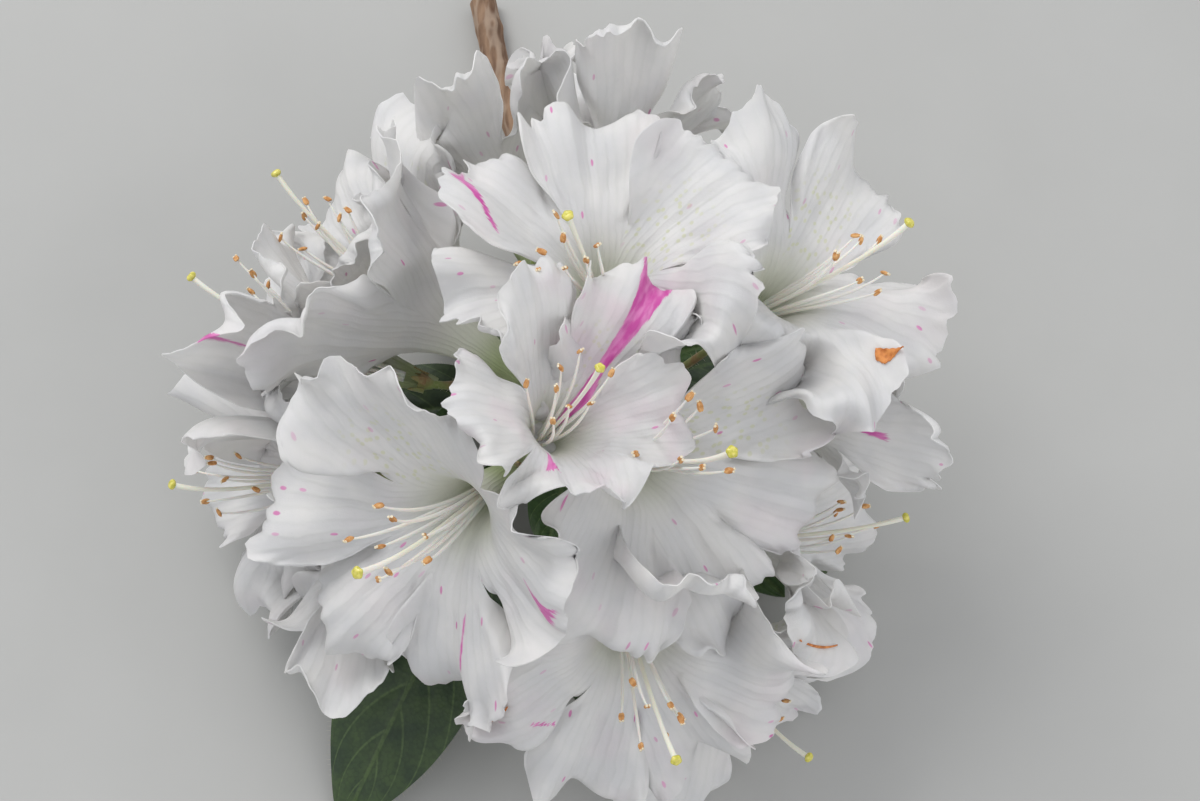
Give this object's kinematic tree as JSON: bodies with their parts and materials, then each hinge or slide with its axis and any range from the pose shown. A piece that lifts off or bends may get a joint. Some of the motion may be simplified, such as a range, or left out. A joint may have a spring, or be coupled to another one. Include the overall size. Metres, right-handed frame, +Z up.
{
  "type": "azalea flower truss",
  "caption": "Cut truss of ruffled white azalea blooms streaked with pink, with stamens, green stalks, leaves and a short woody twig, lying face up.",
  "frame": {"origin": "on the ground, under the middle of the whole truss's box", "axes": "+Z up, towards the face of the truss; +Y along the twig towards its cut end; +X to the right as the face is seen with the twig at the top"},
  "size_m": [0.1614, 0.2038, 0.1213],
  "materials": {
    "petal": "thin, soft and slightly translucent, white with magenta streaks and flecks and a pale green throat",
    "stamen": "slender cream filaments with tan anthers and a yellow-green stigma",
    "green_stalk": "matte, hairy, green turning reddish brown on the shoots",
    "bark": "rough grey-brown bark, with pale wood at the cut end",
    "leaf": "dark green, matte and hairy, with sunk paler veins"
  },
  "bodies": {
    "root": {"twig": "bark", "shoot_middle": "green_stalk", "shoot_left": "green_stalk", "shoot_low_left": "green_stalk", "shoot_foot": "green_stalk", "shoot_right": "green_stalk", "shoot_top": "green_stalk", "bloom_front": "petal", "bloom_lower_left": "petal", "bloom_right_front": "petal", "bloom_foot": "petal", "bloom_top_front": "petal", "bloom_upper_left": "petal", "bloom_upper_right": "petal", "bloom_right": "petal", "bloom_low_right": "petal", "bloom_foot_right": "petal", "bloom_foot_left": "petal", "bloom_low_left": "petal", "bloom_left": "petal", "bloom_far_left": "petal", "bloom_top": "petal", "bloom_top_left": "petal", "stamens_front": "stamen", "stamens_lower_left": "stamen", "stamens_right_front": "stamen", "stamens_foot": "stamen", "stamens_top_front": "stamen", "stamens_upper_left": "stamen", "stamens_upper_right": "stamen", "stamens_right": "stamen", "stamens_low_right": "stamen", "stamens_foot_right": "stamen", "stamens_foot_left": "stamen", "stamens_low_left": "stamen", "stamens_left": "stamen", "stamens_far_left": "stamen", "stamens_top": "stamen", "stamens_top_left": "stamen", "leaf_long": "leaf", "leaf_front": "leaf", "leaf_right": "leaf", "leaf_far_right": "leaf", "leaf_back_right": "leaf", "leaf_back_left": "leaf", "leaf_left": "leaf"}
  },
  "joints": []
}
